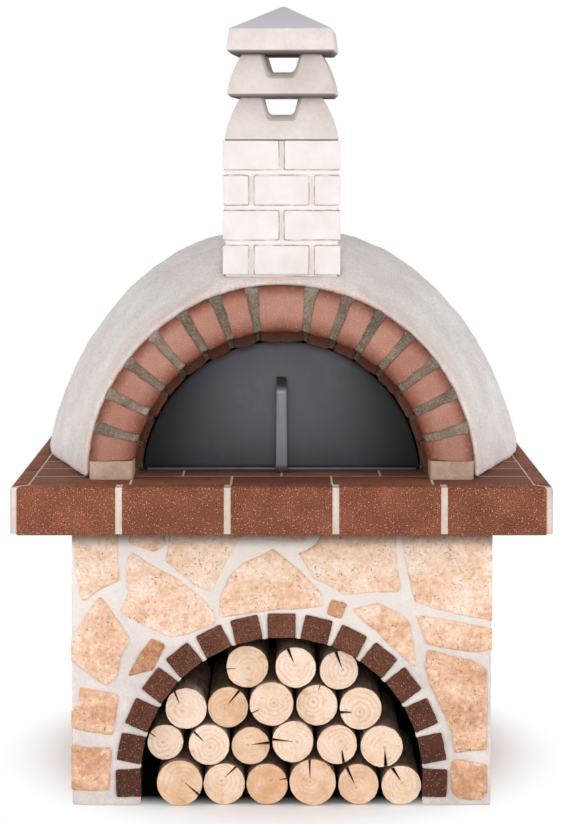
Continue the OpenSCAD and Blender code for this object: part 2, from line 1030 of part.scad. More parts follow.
// Folded foot along the bottom of the door, so that it stands by itself
module door_foot() {
    color("#3c3a3e")
        translate([-foot_half, door_front, deck_z + door_bottom])
            rotate([90, 0, 90])
                linear_extrude(height = 2 * foot_half)
                    polygon([[0, 0], [-foot_out, 0], [-foot_out, foot_lip], [-foot_out + sheet_t, foot_lip],
                        [-foot_out + sheet_t, sheet_t], [0, sheet_t]]);
}

bend_r = 20;
strap_low = 4;
curl_z = 26;

// Side view of the handle strap, Y in front of the door and height over the deck
module strap_view() {
    difference() {
        union() {
            polygon([[0, strap_top + 13], [-strap_out + bend_r, strap_top], [-strap_out + bend_r, strap_top - strap_t],
                [0, strap_top + 13 - strap_t]]);
            translate([-strap_out + bend_r, strap_top - bend_r])
                difference() {
                    circle(r = bend_r);
                    circle(r = bend_r - strap_t);
                    translate([0, -big / 2])
                        square([big, big]);
                    translate([-big, -big])
                        square([2 * big, big]);
                }
            translate([-strap_out, strap_low + bend_r])
                square([strap_t, strap_top - strap_low - 2 * bend_r]);
            translate([-strap_out + bend_r, strap_low + bend_r])
                difference() {
                    circle(r = bend_r);
                    circle(r = bend_r - strap_t);
                    translate([0, -big / 2])
                        square([big, big]);
                    translate([-big, 0])
                        square([2 * big, big]);
                }
            translate([-strap_out + bend_r, strap_low])
                square([strap_out - bend_r - foot_out - curl_z + 20, strap_t]);
        }
    }
}

module door_handle() {
    low_w = strap_w + 4;
    color("#8d8a90")
        intersection() {
            translate([-low_w, door_front, deck_z])
                rotate([90, 0, 90])
                    linear_extrude(height = 2 * low_w)
                        strap_view();
            standing(-big, 0)
                polygon([[-low_w / 2, deck_z], [low_w / 2, deck_z], [strap_w / 2, deck_z + strap_top],
                    [strap_w / 2, deck_z + strap_top + 40], [-strap_w / 2, deck_z + strap_top + 40],
                    [-strap_w / 2, deck_z + strap_top]]);
        }
}

stud_r = 5;
stud_ring = 290;

// Rivets that hold the back plate to the door
module door_studs() {
    color("#77757a")
        for (a = [25, 58, 90, 122, 155])
            translate([stud_ring * cos(a), inner_back - sheet_t, inner_z + stud_ring * sin(a)])
                rotate([-90, 0, 0])
                    cylinder(r = stud_r, h = sheet_t - clear);
}

base_front_wall();
base_left_wall();
base_right_wall();
base_back_wall();
store_arch_clinkers();
front_stones();
front_grout();
left_stones();
left_grout();
right_stones();
right_grout();
logs_bottom_row();
logs_third_row();
logs_second_row();
logs_top_row();
hearth_slab();
edge_tiles_front();
edge_tiles_left();
edge_tiles_right();
edge_tiles_back();
edge_grout();
deck_tiles();
deck_grout();
floor_insulation_board();
oven_floor_bricks();
arch_bricks();
arch_mortar();
arch_foot_left();
arch_foot_right();
inner_arch_bricks();
inner_arch_mortar();
vault_front_left();
vault_front_right();
vault_rear_left();
vault_rear_right();
vault_joints();
flue_collar();
insulation_fill();
render_shell();
chimney_bead();
chimney_block();
cowl_lower();
cowl_upper();
cowl_cap();
door_sheet();
door_rim();
door_foot();
door_insulation();
door_back_plate();
door_handle();
door_studs();
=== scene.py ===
import json
import math
import random

import bmesh
import bpy
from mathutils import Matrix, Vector, noise


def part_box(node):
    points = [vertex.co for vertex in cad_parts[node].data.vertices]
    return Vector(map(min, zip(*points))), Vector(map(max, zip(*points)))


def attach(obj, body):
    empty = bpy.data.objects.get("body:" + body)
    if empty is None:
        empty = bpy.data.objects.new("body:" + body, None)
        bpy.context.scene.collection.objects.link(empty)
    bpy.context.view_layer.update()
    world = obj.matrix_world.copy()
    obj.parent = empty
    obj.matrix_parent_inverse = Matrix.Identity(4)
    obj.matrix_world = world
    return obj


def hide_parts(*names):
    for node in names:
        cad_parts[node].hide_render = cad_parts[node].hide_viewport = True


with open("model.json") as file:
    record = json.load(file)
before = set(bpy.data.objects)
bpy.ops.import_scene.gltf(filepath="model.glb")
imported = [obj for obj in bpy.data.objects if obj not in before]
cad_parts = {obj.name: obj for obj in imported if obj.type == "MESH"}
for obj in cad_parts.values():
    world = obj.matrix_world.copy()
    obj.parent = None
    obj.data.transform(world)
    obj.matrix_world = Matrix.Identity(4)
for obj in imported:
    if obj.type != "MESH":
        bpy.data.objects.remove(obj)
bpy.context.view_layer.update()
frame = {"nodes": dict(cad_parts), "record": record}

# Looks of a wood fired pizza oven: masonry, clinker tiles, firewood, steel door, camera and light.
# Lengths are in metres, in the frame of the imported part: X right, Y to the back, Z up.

RECORD = frame["record"]
BODY = {n: b for b, members in RECORD["behaviour"]["bodies"].items() for n in members}
MM = 0.001


# Meshes

def split_solids(node):
    """The separate solids of a CAD node, each as (points, faces), in a fixed order."""
    bm = bmesh.new()
    bm.from_mesh(frame["nodes"][node].data)
    bmesh.ops.remove_doubles(bm, verts=bm.verts, dist=1e-6)
    bm.verts.index_update()
    seen, found = set(), []
    for start in bm.verts:
        if start.index in seen:
            continue
        seen.add(start.index)
        queue, members = [start], []
        while queue:
            v = queue.pop()
            members.append(v)
            for e in v.link_edges:
                w = e.other_vert(v)
                if w.index not in seen:
                    seen.add(w.index)
                    queue.append(w)
        place = {v.index: i for i, v in enumerate(members)}
        faces = {f.index: f for v in members for f in v.link_faces}
        found.append(([v.co.copy() for v in members],
                      [[place[v.index] for v in faces[k].verts] for k in sorted(faces)]))
    bm.free()
    found.sort(key=lambda s: tuple(round(sum(p[k] for p in s[0]) / len(s[0]), 4) for k in (2, 0, 1)))
    return found


def mesh_of(name, points, faces):
    """A new mesh of the points and faces given."""
    mesh = bpy.data.meshes.new(name)
    mesh.from_pydata(points, [], faces)
    mesh.update()
    return mesh


def evaluated(mesh, *modifiers):
    """The mesh after the modifiers, each given as (type, settings)."""
    obj = bpy.data.objects.new("work", mesh)
    bpy.context.scene.collection.objects.link(obj)
    for kind, settings in modifiers:
        mod = obj.modifiers.new(kind, kind)
        for key, value in settings.items():
            setattr(mod, key, value)
    graph = bpy.context.evaluated_depsgraph_get()
    result = bpy.data.meshes.new_from_object(obj.evaluated_get(graph))
    bpy.data.objects.remove(obj)
    return result


def mark(mesh, name, values):
    """Stores one number per point under a name that the materials read."""
    layer = mesh.attributes.new(name, "FLOAT", "POINT")
    layer.data.foreach_set("value", values)


def joined(name, meshes):
    """One mesh of all the meshes given."""
    bm = bmesh.new()
    for m in meshes:
        bm.from_mesh(m)
    mesh = bpy.data.meshes.new(name)
    bm.to_mesh(mesh)
    bm.free()
    return mesh


def show(node, mesh, *materials, smooth=True, crease=None):
    """Puts a dressed mesh in the place of its CAD node."""
    obj = bpy.data.objects.new("dressed_" + node, mesh)
    bpy.context.scene.collection.objects.link(obj)
    for m in materials:
        mesh.materials.append(m)
    mesh.polygons.foreach_set("use_smooth", [smooth] * len(mesh.polygons))
    if crease:
        mesh.set_sharp_from_angle(angle=math.radians(crease))
    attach(obj, BODY[node])
    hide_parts(node)


def wander(mesh, height, size, seed, octaves=3, swell=0.0):
    """Moves each point along its normal by seeded noise, up to about the height given."""
    shift = Vector((seed * 7.31, seed * 3.17, seed * 5.53))
    normals = [v.normal.copy() for v in mesh.vertices]
    for v, n in zip(mesh.vertices, normals):
        v.co += n * (swell + height * noise.fractal(v.co / size + shift, 1.0, 2.0, octaves))
    mesh.update()


def tumbled(node, voxel, smoothing, height, size, seed, swell=0.0, marks=(), reshape=None, tint=None,
            rough=None):
    """Every solid of a node as a rounded, uneven block with its own tint number.

    swell pushes the surface out by a little, against the rounding, but never out of the node's box. marks
    are further (name, function of a point) numbers for the material. reshape gives new points first. tint
    gives the tint number from a solid's points and a chance number. rough is a second, finer (height, size)
    of the unevenness."""
    rng = random.Random(seed)
    low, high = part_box(node)
    meshes = []
    for k, (points, faces) in enumerate(split_solids(node)):
        if reshape:
            points = reshape(points)
        mesh = evaluated(mesh_of("work", points, faces),
                         ("REMESH", {"mode": "VOXEL", "voxel_size": voxel}),
                         ("SMOOTH", {"factor": 0.5, "iterations": smoothing}))
        for name, value in marks:
            mark(mesh, name, [value(v.co) for v in mesh.vertices])
        wander(mesh, height, size, seed + k, swell=swell)
        if rough:
            wander(mesh, *rough, seed + k, octaves=2)
        for v in mesh.vertices:
            v.co = [min(max(c, a), b) for c, a, b in zip(v.co, low, high)]
        shade = rng.random()
        if tint:
            shade = tint(points, shade)
        mark(mesh, "tint", [shade] * len(mesh.vertices))
        meshes.append(mesh)
    return joined(node, meshes)


def bevelled(node, width, segments, seed, spread=1.0):
    """Every solid of a node with its sharp edges rounded, and its own tint number, spread round 0.5."""
    rng = random.Random(seed)
    meshes = []
    for points, faces in split_solids(node):
        mesh = mesh_of("work", points, faces)
        bm = bmesh.new()
        bm.from_mesh(mesh)
        bmesh.ops.dissolve_limit(bm, angle_limit=math.radians(1), verts=bm.verts, edges=bm.edges)
        bm.to_mesh(mesh)
        bm.free()
        mesh = evaluated(mesh, ("BEVEL", {"width": width, "segments": segments, "limit_method": "ANGLE",
                                          "angle_limit": math.radians(40), "use_clamp_overlap": True}))
        tint = 0.5 + spread * (rng.random() - 0.5)
        mark(mesh, "tint", [tint] * len(mesh.vertices))
        meshes.append(mesh)
    return joined(node, meshes)


# Materials

def srgb(code):
    """A colour written as a six digit code, in the linear light that shaders use."""
    parts = [int(code[i:i + 2], 16) / 255 for i in (1, 3, 5)]
    return [((c + 0.055) / 1.055) ** 2.4 if c > 0.04045 else c / 12.92 for c in parts] + [1.0]


class Paint:
    """A material made of nodes, with short names for the nodes used here."""

    def __init__(self, name, roughness=0.8, metallic=0.0, specular=0.4):
        self.material = bpy.data.materials.new(name)
        self.material.use_nodes = True
        self.tree = self.material.node_tree
        self.shader = self.tree.nodes["Principled BSDF"]
        self.shader.inputs["Roughness"].default_value = roughness
        self.shader.inputs["Metallic"].default_value = metallic
        self.shader.inputs["Specular IOR Level"].default_value = specular
        self.coords = self.tree.nodes.new("ShaderNodeTexCoord").outputs["Object"]

    def node(self, kind, settings=(), **inputs):
        """A new node with its settings, and its inputs by name, with _ for a space."""
        n = self.tree.nodes.new(kind)
        for key, value in dict(settings).items():
            setattr(n, key, value)
        for key, value in inputs.items():
            self.plug(n.inputs[key.replace("_", " ")], value)
        return n

    def plug(self, socket, value):
        """Links a socket to an input, or sets the input to a plain value."""
        if isinstance(value, bpy.types.NodeSocket):
            self.tree.links.new(value, socket)
        else:
            socket.default_value = value

    def stretched(self, scale):
        """The place of a point, scaled along each axis."""
        return self.node("ShaderNodeMapping", Vector=self.coords, Scale=scale).outputs["Vector"]

    def noise(self, scale, detail=4.0, roughness=0.55, vector=None):
        return self.node("ShaderNodeTexNoise", Vector=vector or self.coords, Scale=scale, Detail=detail,
                         Roughness=roughness).outputs["Fac"]

    def dots(self, scale, radius, share):
        """Up to 1 in small round dots, in a share of the cells of a random net, some fainter than others."""
        n = self.node("ShaderNodeTexVoronoi", Vector=self.coords, Scale=scale)
        pick = self.node("ShaderNodeSeparateColor", Color=n.outputs["Color"])
        near = self.math("SUBTRACT", 1.0, self.between(n.outputs["Distance"], 0.6 * radius, radius))
        chosen = self.math("MULTIPLY", self.math("LESS_THAN", pick.outputs[0], share), pick.outputs[1])
        return self.math("MULTIPLY", near, chosen)

    def part_of(self, vector, axis):
        """One part of a vector: 0 for X, 1 for Y, 2 for Z."""
        return self.node("ShaderNodeSeparateXYZ", Vector=vector).outputs[axis]

    def number(self, name):
        """A number that the mesh stores under a name."""
        return self.node("ShaderNodeAttribute", {"attribute_name": name}).outputs["Fac"]

    def math(self, operation, a, b=0.0):
        n = self.node("ShaderNodeMath", {"operation": operation})
        self.plug(n.inputs[0], a)
        self.plug(n.inputs[1], b)
        return n.outputs[0]

    def steps(self, value, *stops):
        """A colour ramp through (place, colour code) stops."""
        n = self.node("ShaderNodeValToRGB", Fac=value)
        ramp = n.color_ramp
        while len(ramp.elements) < len(stops):
            ramp.elements.new(0.5)
        for e, (place, code) in zip(ramp.elements, stops):
            e.position, e.color = place, srgb(code)
        return n.outputs["Color"]

    def between(self, value, low, high):
        """0 below low and 1 above high."""
        n = self.node("ShaderNodeMapRange", {"interpolation_type": "SMOOTHSTEP"}, Value=value)
        n.inputs["From Min"].default_value = low
        n.inputs["From Max"].default_value = high
        return n.outputs["Result"]

    def mix(self, share, a, b, blend="MIX"):
        """From colour a to colour b, each a code or a socket."""
        n = self.node("ShaderNodeMix", {"data_type": "RGBA", "blend_type": blend})
        self.plug(n.inputs["Factor"], share)
        self.plug(n.inputs[6], srgb(a) if isinstance(a, str) else a)
        self.plug(n.inputs[7], srgb(b) if isinstance(b, str) else b)
        return n.outputs[2]

    def finish(self, colour, height=None, depth=0.001, strength=1.0, roughness=None):
        """Gives the material its colour, and a bump if a height is given."""
        self.plug(self.shader.inputs["Base Color"], colour)
        if roughness is not None:
            self.plug(self.shader.inputs["Roughness"], roughness)
        if height is not None:
            bump = self.node("ShaderNodeBump", Height=height, Distance=depth, Strength=strength)
            self.tree.links.new(bump.outputs["Normal"], self.shader.inputs["Normal"])
        return self.material


STAND_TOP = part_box("front_grout")[1].z
DECK_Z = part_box("deck_tiles")[1].z
# Distances below the top of the stand where the painted shade begins and is deepest, and its share there
SHADE_LOW, SHADE_HIGH, SHADE_SHARE = 60 * MM, 20 * MM, 0.8


def shaded_top(p, colour):
    """The colour of a facing with the dark strip of the photograph, close under the worktop, painted in."""
    z = p.part_of(p.coords, 2)
    shade = p.between(z, STAND_TOP - SHADE_LOW, STAND_TOP - SHADE_HIGH)
    return p.mix(p.math("MULTIPLY", shade, SHADE_SHARE), colour, "#46342a")


def fired_clay(name, dark, mid, light, fleck_light, fleck_dark, grain=0.5, flecks=0.5, edge=None):
    """Brick or clinker: cloudy body colour, a tint per piece, fine mottling, pale and dark flecks.

    edge is a colour of painted shade for points with the number rim."""
    p = Paint(name, roughness=0.85, specular=0.2)
    cloud = p.math("MULTIPLY", p.math("SUBTRACT", p.noise(16, 5), 0.5), 0.25)
    mottle = p.math("MULTIPLY", p.math("SUBTRACT", p.noise(400, 2, 0.7), 0.5), grain)
    own = p.math("MULTIPLY", p.math("SUBTRACT", p.number("tint"), 0.5), 0.16)
    tone = p.math("ADD", p.math("ADD", cloud, mottle), p.math("ADD", own, 0.5))
    colour = p.steps(tone, (0.28, dark), (0.5, mid), (0.72, light))
    # Painted shade on the rounded ends of the bricks, unevenly
    if edge:
        uneven = p.math("ADD", 0.6, p.math("MULTIPLY", p.noise(40, 3), 0.7))
        colour = p.mix(p.math("MULTIPLY", p.number("rim"), uneven), colour, edge)
    pale = p.math("MAXIMUM", p.dots(210, 0.3, 0.35), p.dots(115, 0.18, 0.42))
    deep = p.dots(190, 0.3, 0.7)
    colour = p.mix(p.math("MULTIPLY", deep, 0.9 * flecks), colour, fleck_dark)
    colour = p.mix(p.math("MULTIPLY", pale, flecks), colour, fleck_light)
    sand = p.math("ADD", p.noise(420, 3), p.math("MULTIPLY", p.noise(90, 3), 1.2))
    return p.finish(colour, sand, 0.0012, 0.5)


def sand_mortar(name, dark, mid, light, scale=60, depth=1.5 * MM, grit=0.25, above=None, roof=None,
                under=None, specks=None, stain=None):
    """Mortar, render or cast stone: cloudy colour, dark grit and a sandy surface.

    above is a colour of painted light that comes in towards the top of the stand, with the painted shade close
    under the worktop. roof is a colour of painted light for faces that look up, under one of painted shade for
    faces that look down, specks one for coarse grains of sand, and stain one for points with the number rim."""
    p = Paint(name, roughness=0.92, specular=0.25)
    cloud = p.math("ADD", p.math("MULTIPLY", p.noise(9, 6, 0.6), 0.75),
                   p.math("MULTIPLY", p.noise(120, 3, 0.6), 0.25))
    colour = p.steps(cloud, (0.36, dark), (0.5, mid), (0.64, light))
    # Painted light, paler towards the top of the stand, and painted shade close under the worktop
    if above:
        colour = p.mix(p.between(p.part_of(p.coords, 2), 0.3 * STAND_TOP, STAND_TOP), colour, above)
        colour = shaded_top(p, colour)
    up = p.part_of(p.node("ShaderNodeNewGeometry").outputs["Normal"], 2)
    # Painted light: a cooler grey on faces that look up
    if roof:
        colour = p.mix(p.between(up, 0.3, 0.7), colour, roof)
    # Painted shade on faces that look down
    if under:
        colour = p.mix(p.between(up, -0.5, -0.8), colour, under)
    grain = p.between(p.noise(330, 3, 0.75), 0.54, 0.68)
    colour = p.mix(p.math("MULTIPLY", grain, grit), colour, dark, "MULTIPLY")
    if stain:
        stained = p.math("MULTIPLY", p.number("rim"), p.between(p.noise(26, 4), 0.3, 0.6))
        colour = p.mix(stained, colour, stain)
    if specks:
        coarse = p.math("MULTIPLY", p.between(p.noise(180, 3, 0.7), 0.5, 0.66), 0.6)
        sand = p.math("MAXIMUM", coarse, p.dots(125, 0.26, 0.4))
        colour = p.mix(p.math("MULTIPLY", sand, 0.6), colour, specks)
    rough = p.math("ADD", p.noise(scale, 4, 0.6), p.math("MULTIPLY", p.noise(300, 3), 0.5))
    return p.finish(colour, rough, depth, 0.7)


def moulded_cast(name, plain, groove, bed):
    """Cast block with a moulded brick pattern: clean pads, dirt and painted shade on the walls of the grooves,
    paler beds.
    """
    p = Paint(name, roughness=0.9, specular=0.25)
    cloud = p.noise(18, 5, 0.6)
    pad = p.steps(cloud, (0.3, plain), (0.7, "#eee8e5"))
    depth = p.number("groove")
    # Dirt and painted shade on the walls of the grooves, in patches
    dirt_and_shade = p.math("MULTIPLY", p.between(depth, 0.2, 0.45),
                  p.math("SUBTRACT", 1.0, p.between(depth, 0.55, 0.8)))
    patchy = p.math("MULTIPLY", dirt_and_shade, p.between(p.noise(30, 4, 0.7), 0.3, 0.62))
    colour = p.mix(p.between(depth, 0.5, 0.8), pad, bed)
    colour = p.mix(p.math("MULTIPLY", patchy, 0.95), colour, groove)
    height = p.math("ADD", p.noise(45, 4, 0.6), p.math("MULTIPLY", p.noise(260, 3), 0.3))
    return p.finish(colour, height, 0.002, 0.6)


def travertine(name):
    """Honey coloured paving stone: cloudy bands, a tint per stone, rust, pale patches, grain and dark pits.

    The darkest stones are blotched with brown. The tint of a stone carries painted light, and painted shade
    is laid in close under the worktop."""
    p = Paint(name, roughness=0.75, specular=0.3)
    bands = p.math("ADD", p.math("MULTIPLY", p.noise(11, 7, 0.68, p.stretched((1.0, 1.0, 1.5))), 0.7),
                   p.math("SUBTRACT", p.math("MULTIPLY", p.noise(80, 5, 0.7), 0.6), 0.15))
    tone = p.math("ADD", bands, p.math("MULTIPLY", p.math("SUBTRACT", p.number("tint"), 0.5), 0.27))
    colour = p.steps(tone, (0.32, "#cb9673"), (0.43, "#e0b191"), (0.53, "#f0c7a9"), (0.62, "#f7d9c2"),
                     (0.72, "#fdebdc"))
    patches = p.between(p.noise(42, 6, 0.75), 0.57, 0.64)
    colour = p.mix(p.math("MULTIPLY", patches, 0.5), colour, "#fdf0e6")
    rust = p.math("MULTIPLY", p.between(p.noise(34, 5, 0.75), 0.54, 0.68),
                  p.between(p.noise(7, 3), 0.45, 0.62))
    colour = p.mix(p.math("MULTIPLY", rust, 0.5), colour, "#cf8f62")
    blotched = p.math("MULTIPLY", p.between(p.noise(65, 5, 0.7), 0.42, 0.6),
                      p.math("SUBTRACT", 1.0, p.between(p.number("tint"), -0.5, -0.25)))
    colour = p.mix(p.math("MULTIPLY", blotched, 0.8), colour, "#94583a")
    grain = p.between(p.noise(280, 3, 0.75), 0.4, 0.62)
    colour = p.mix(p.math("MULTIPLY", grain, 0.16), colour, "#b9835a")
    crumbs = p.math("MULTIPLY", p.between(p.noise(150, 4, 0.75), 0.61, 0.65),
                    p.between(p.noise(18, 3), 0.38, 0.54))
    pits = p.math("MAXIMUM", p.dots(95, 0.18, 0.5), crumbs)
    colour = p.mix(p.math("MULTIPLY", pits, 0.9), colour, "#6b4028")
    height = p.math("SUBTRACT", p.math("MULTIPLY", p.noise(55, 4), 0.8), pits)
    return p.finish(shaded_top(p, colour), height, 2 * MM, 0.7)


def wood_ends(name):
    """Sawn log end: growth rings round the pith, drying cracks, saw marks."""
    p = Paint(name, roughness=0.75)
    rings = p.number("grain")
    wave = p.math("ADD", rings, p.math("ADD", p.math("MULTIPLY", p.noise(28, 4, 0.6), 0.014),
                                       p.math("MULTIPLY", p.noise(9, 2), 0.035)))
    fine = p.math("SINE", p.math("MULTIPLY", wave, 1500.0))
    broad = p.math("SINE", p.math("MULTIPLY", wave, 560.0))
    body = p.math("ADD", p.math("MULTIPLY", p.noise(22, 5, 0.65), 0.65),
                  p.math("MULTIPLY", p.number("tint"), 0.35))
    colour = p.steps(body, (0.22, "#dfae82"), (0.5, "#f8ddc6"), (0.76, "#fff1e6"))
    lines = p.math("MULTIPLY", p.between(p.noise(14, 3), 0.4, 0.6), p.between(broad, 0.1, 1.0))
    colour = p.mix(p.math("MULTIPLY", lines, 0.4), colour, "#d6a47a")
    colour = p.mix(p.math("MULTIPLY", p.between(fine, 0.0, 1.0), 0.2), colour, "#cd9c70")
    heart = p.math("SUBTRACT", 1.0, p.between(rings, 0.001, 0.006))
    colour = p.mix(p.math("MULTIPLY", heart, 0.35), colour, "#8a5a38")
    stain = p.between(p.noise(38, 5, 0.75), 0.57, 0.68)
    colour = p.mix(p.math("MULTIPLY", stain, 0.45), colour, "#bd875a")
    fibre = p.between(p.noise(230, 4, 0.75), 0.42, 0.64)
    colour = p.mix(p.math("MULTIPLY", fibre, 0.22), colour, "#c99a70")
    # Painted shade: the drying cracks are near black inside
    colour = p.mix(p.between(p.number("crack"), 0.2, 0.5), colour, "#160e09")
    return p.finish(colour, p.math("ADD", p.noise(240, 3), p.math("MULTIPLY", broad, 0.4)), 0.0012, 0.6)


def log_bark(name):
    """Grey brown bark with fine plates along the log."""
    p = Paint(name, roughness=0.9, specular=0.2)
    along = p.stretched((1.0, 0.25, 1.0))
    plates = p.noise(60, 5, 0.65, along)
    tone = p.math("ADD", p.math("MULTIPLY", plates, 0.8), p.math("MULTIPLY", p.number("tint"), 0.25))
    colour = p.steps(tone, (0.25, "#514036"), (0.45, "#866d5c"), (0.65, "#b09480"), (0.85, "#d2bba8"))
    ridges = p.math("ADD", plates, p.math("MULTIPLY", p.noise(260, 3, 0.6, along), 0.4))
    return p.finish(colour, ridges, 3 * MM, 0.8)


def satin_steel(name, dark, light, roughness, metallic, wear_and_shade=None):
    """Painted or bare sheet steel: faint clouds and hairline scratches.

    The last colour, if given, is painted shade that comes in towards both sides and the foot, on steel that is
    scuffed."""
    p = Paint(name, roughness=roughness, metallic=metallic, specular=0.5)
    cloud = p.noise(7, 5, 0.6)
    hair = p.noise(320, 2, 0.5, p.stretched((1.0, 1.0, 0.03)))
    colour = p.steps(p.math("ADD", p.math("MULTIPLY", cloud, 0.8), p.math("MULTIPLY", hair, 0.2)),
                     (0.35, dark), (0.65, light))
    if wear_and_shade:
        scuffs = p.math("MULTIPLY", p.between(p.noise(6, 6, 0.65), 0.5, 0.68), 0.3)
        chips = p.math("MULTIPLY", p.dots(70, 0.1, 0.25), 0.5)
        colour = p.mix(p.math("MAXIMUM", scuffs, chips), colour, "#5b5963")
        # Painted shade: darker towards both sides, where the arch shades the door, and towards the foot
        aside = p.between(p.math("ABSOLUTE", p.part_of(p.coords, 0)), 0.1, 0.28)
        low = p.math("SUBTRACT", 1.0, p.between(p.part_of(p.coords, 2), DECK_Z, DECK_Z + 0.1))
        side_and_foot_shade = p.math("MAXIMUM", p.math("MULTIPLY", aside, 0.9), p.math("MULTIPLY", low, 0.45))
        colour = p.mix(side_and_foot_shade, colour, wear_and_shade)
    worn = p.math("ADD", roughness - 0.1, p.math("MULTIPLY", cloud, 0.2))
    return p.finish(colour, p.noise(260, 3), 0.0004, 0.25, roughness=worn)


# The arch bricks have painted shade at their rounded ends
ARCH_BRICK = fired_clay("arch_brick", "#8f5a4a", "#ac7b6b", "#c49684", "#dcb69f", "#6f3f31", grain=0.7,
                        edge="#723a27")
INNER_BRICK = fired_clay("inner_brick", "#40261d", "#593628", "#744b3b", "#9b7a68", "#22140f")
EDGE_CLINKER = fired_clay("edge_clinker", "#522a1c", "#7f4938", "#b87352", "#fbd0a6", "#3f1d12", grain=1.35,
                          flecks=0.85)
DECK_CLINKER = fired_clay("deck_clinker", "#522e22", "#784938", "#9c6953", "#d8b7a2", "#3a2119", grain=0.8)
DARK_CLINKER = fired_clay("dark_clinker", "#351c13", "#543225", "#7c4f3c", "#e0a884", "#291812", grain=0.8,
                          flecks=0.8)
FIREBRICK = fired_clay("firebrick", "#b08c68", "#c9a680", "#d9bd9c", "#eadbc4", "#8a6a4a")
ARCH_MORTAR = sand_mortar("arch_mortar", "#5f5145", "#7c6d60", "#9d8f80", scale=90, depth=5 * MM, grit=0.8,
                          specks="#b5a896")
INNER_MORTAR = sand_mortar("inner_mortar", "#3d3129", "#514136", "#685648", scale=90, depth=4 * MM, grit=0.6,
                           specks="#8b7a6a")
FOOT_CAST = sand_mortar("foot_cast", "#a88e7b", "#bba18e", "#ccb4a2", grit=0.5)
RENDER = sand_mortar("render", "#e1d9d6", "#e9e2df", "#f1ece9", scale=110, depth=4.5 * MM, grit=0.5,
                     specks="#a39a97", stain="#e2cbbd")
# Painted light towards the top of the stand, with the painted shade close under the worktop
FACING_GROUT = sand_mortar("facing_grout", "#cfc6c1", "#ddd4cf", "#ece4df", scale=45, depth=4 * MM, grit=0.35,
                           above="#f3eae4")
TILE_GROUT = sand_mortar("tile_grout", "#cebaac", "#ddcbbe", "#e8dacf")
WALL_BLOCK = sand_mortar("wall_block", "#b1aaa4", "#beb7b1", "#cac4be", scale=80, depth=3 * MM, grit=0.5)
# Painted shade: the walls inside the log store are near black
STORE_SHADE_WALL = sand_mortar("store_wall_shade", "#2b231e", "#362d27", "#423831")
SLAB = sand_mortar("slab_concrete", "#a39b92", "#b5aea6", "#c4beb7")
CHIMNEY = moulded_cast("chimney_cast", "#e3dcd8", "#7f6b5c", "#ece5e1")
# The cowls have painted shade on faces that look down
COWL = sand_mortar("cowl_cast", "#d2c7c1", "#ddd2cc", "#e5dbd6", scale=40, depth=1.2 * MM, under="#5d524d")
# The cap has painted light, a cooler grey, on faces that look up, and painted shade on faces that look down
CAP = sand_mortar("cap_cast", "#d8cfcb", "#e2d9d5", "#eae2de", scale=40, depth=1.2 * MM, roof="#d4d3d8",
                  under="#5d524d")
REFRACTORY = sand_mortar("refractory", "#b39c7d", "#c6b193", "#d5c3a8")
BOARD = sand_mortar("insulation_board", "#cabfa9", "#d8cdb8", "#e2d9c7")
FIBRE = sand_mortar("fibre", "#e0d6b8", "#ede4c8", "#f5efda", scale=25, depth=3 * MM)
TRAVERTINE = travertine("travertine")
LOG_END = wood_ends("log_end")
LOG_BARK = log_bark("log_bark")
# The door has painted shade towards its sides and its foot
DOOR_STEEL = satin_steel("door_steel", "#33313a", "#3f3d47", roughness=0.45, metallic=0.3, wear_and_shade="#08080a")
# Painted highlight: the door foot is lighter steel than the door, for the light its top edge catches
FOOT_HIGHLIGHT_STEEL = satin_steel("door_foot_highlight_steel", "#4b4950", "#5a575f", roughness=0.4, metallic=0.4)
BACK_STEEL = satin_steel("door_back_steel", "#57575a", "#66666a", roughness=0.4, metallic=0.9)
HANDLE_STEEL = satin_steel("handle_steel", "#66626a", "#757179", roughness=0.42, metallic=0.5)
RIVET_STEEL = satin_steel("rivet_steel", "#6f6d72", "#807e84", roughness=0.35, metallic=0.9)


# Stand

SMALL_STONE = 110 * MM
STORE_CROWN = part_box("store_arch_clinkers")[1].z


def middle_and_size(points):
    """The middle of a solid, and its largest side."""
    low = Vector(min(p[k] for p in points) for k in range(3))
    high = Vector(max(p[k] for p in points) for k in range(3))
    return (low + high) / 2, max(high - low)


def stone_tint_and_painted_light(points, chance):
    """The facing stones are paler towards the worktop, which is painted light, and the small ones beside the arch
    are browner.
    """
    middle, size = middle_and_size(points)
    tint = 0.25 * chance + middle.z / STAND_TOP - 0.08
    beside = 0.4 * STAND_TOP < middle.z < 0.8 * STAND_TOP
    return tint - 1.0 if size < SMALL_STONE and beside else tint


def clinker_painted_light_and_tint(points, chance):
    """The clinkers are lighter towards the crown of their arch, which is painted light, and vary a little at
    random.
    """
    return 1.3 * middle_and_size(points)[0].z / STORE_CROWN + 0.3 * (chance - 0.5)


def even_tint(points, chance):
    """Little change of colour from piece to piece."""
    return 0.5 + 0.4 * (chance - 0.5)


for k, side in enumerate(("front", "left", "right")):
    stones, grout = side + "_stones", side + "_grout"
    show(stones, tumbled(stones, voxel=4 * MM, smoothing=2, height=2.2 * MM, size=30 * MM, seed=11 + 40 * k,
                         swell=1.5 * MM, tint=stone_tint_and_painted_light), TRAVERTINE)
    show(grout, tumbled(grout, voxel=5 * MM, smoothing=3, height=1.6 * MM, size=30 * MM, seed=17 + 40 * k,
                        swell=2.0 * MM), FACING_GROUT)
show("store_arch_clinkers", tumbled("store_arch_clinkers", voxel=2.5 * MM, smoothing=1, height=1.0 * MM,
                                    size=20 * MM, seed=23, swell=0.8 * MM, tint=clinker_painted_light_and_tint), DARK_CLINKER)


# Firewood

SPOKES = 60
CAP_RINGS = (0.08, 0.2, 0.34, 0.48, 0.62, 0.76, 0.88, 0.95, 0.985)
SIDE_RINGS = 22
CRACK_DEPTH = 14 * MM
END_ROUGH = 0.6 * MM
